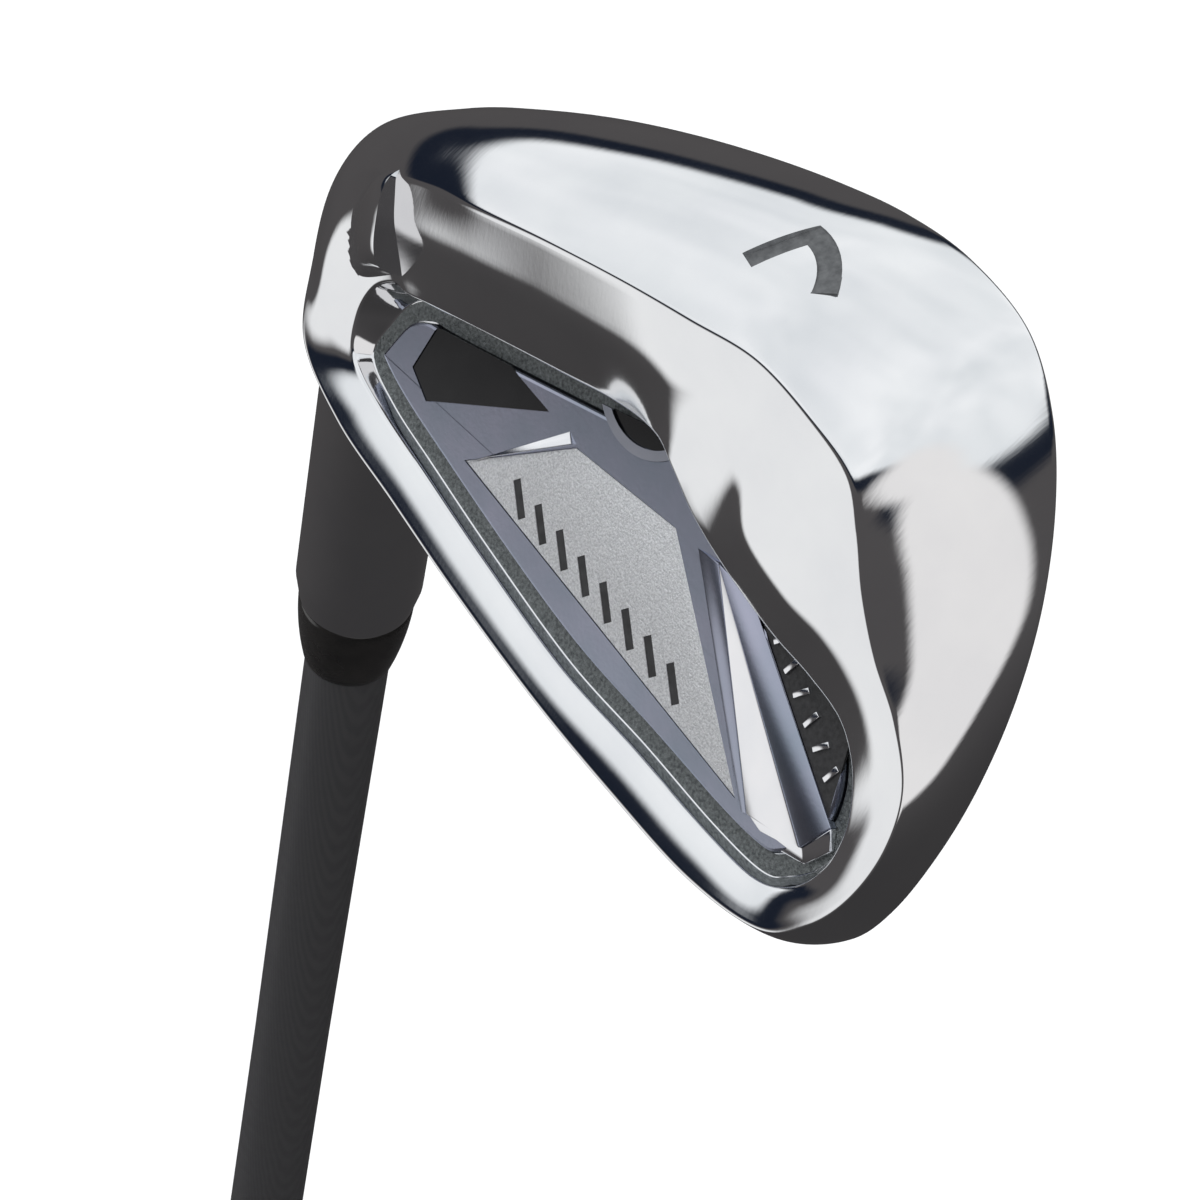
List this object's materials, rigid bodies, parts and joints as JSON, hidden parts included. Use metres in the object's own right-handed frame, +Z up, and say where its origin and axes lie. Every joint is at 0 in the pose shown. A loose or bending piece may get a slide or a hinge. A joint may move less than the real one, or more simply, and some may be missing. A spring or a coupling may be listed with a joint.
{
  "type": "golf iron",
  "caption": "Left-handed cavity-back golf iron: chrome cast head with badge, tapered graphite shaft, ferrule and rubber grip.",
  "frame": {"origin": "centre of the vent hole, on the outside face of the grip cap at the butt end of the club", "axes": "+Z up the shaft axis from the butt to the head, +X from heel to toe, +Y out of the hitting face side, -Y the back of the head with the cavity"},
  "size_m": [0.0982, 0.0473, 0.9662],
  "materials": {
    "head_steel": "polished chrome plating on cast stainless steel",
    "number_paint": "matt grey enamel",
    "badge_tape": "black foam tape",
    "badge_chrome": "dark bright plating on a plastic moulding",
    "badge_silver": "bead-blasted silver",
    "bar_paint": "black paint",
    "black_gloss": "gloss black",
    "black_satin": "satin black",
    "emblem_metal": "bright metal",
    "ferrule_black": "polished black",
    "epoxy": "cured adhesive",
    "graphite": "dark grey lacquered carbon fibre",
    "brass": "turned",
    "tape_paper": "paper-backed double-sided tape",
    "grip_rubber": "matt moulded rubber",
    "cap_rubber": "firmer moulded rubber"
  },
  "bodies": {
    "root": {"head": "head_steel", "number_paint": "number_paint", "badge_tape": "badge_tape", "badge_frame": "badge_chrome", "badge_panel": "badge_silver", "panel_bars": "bar_paint", "heel_window": "black_gloss", "toe_strip": "black_satin", "emblem_ring": "emblem_metal", "emblem_disc": "black_gloss", "ferrule": "ferrule_black", "hosel_epoxy": "epoxy", "shaft": "graphite", "tip_weight": "brass", "grip_tape": "tape_paper", "grip": "grip_rubber", "grip_cap": "cap_rubber"}
  },
  "joints": []
}
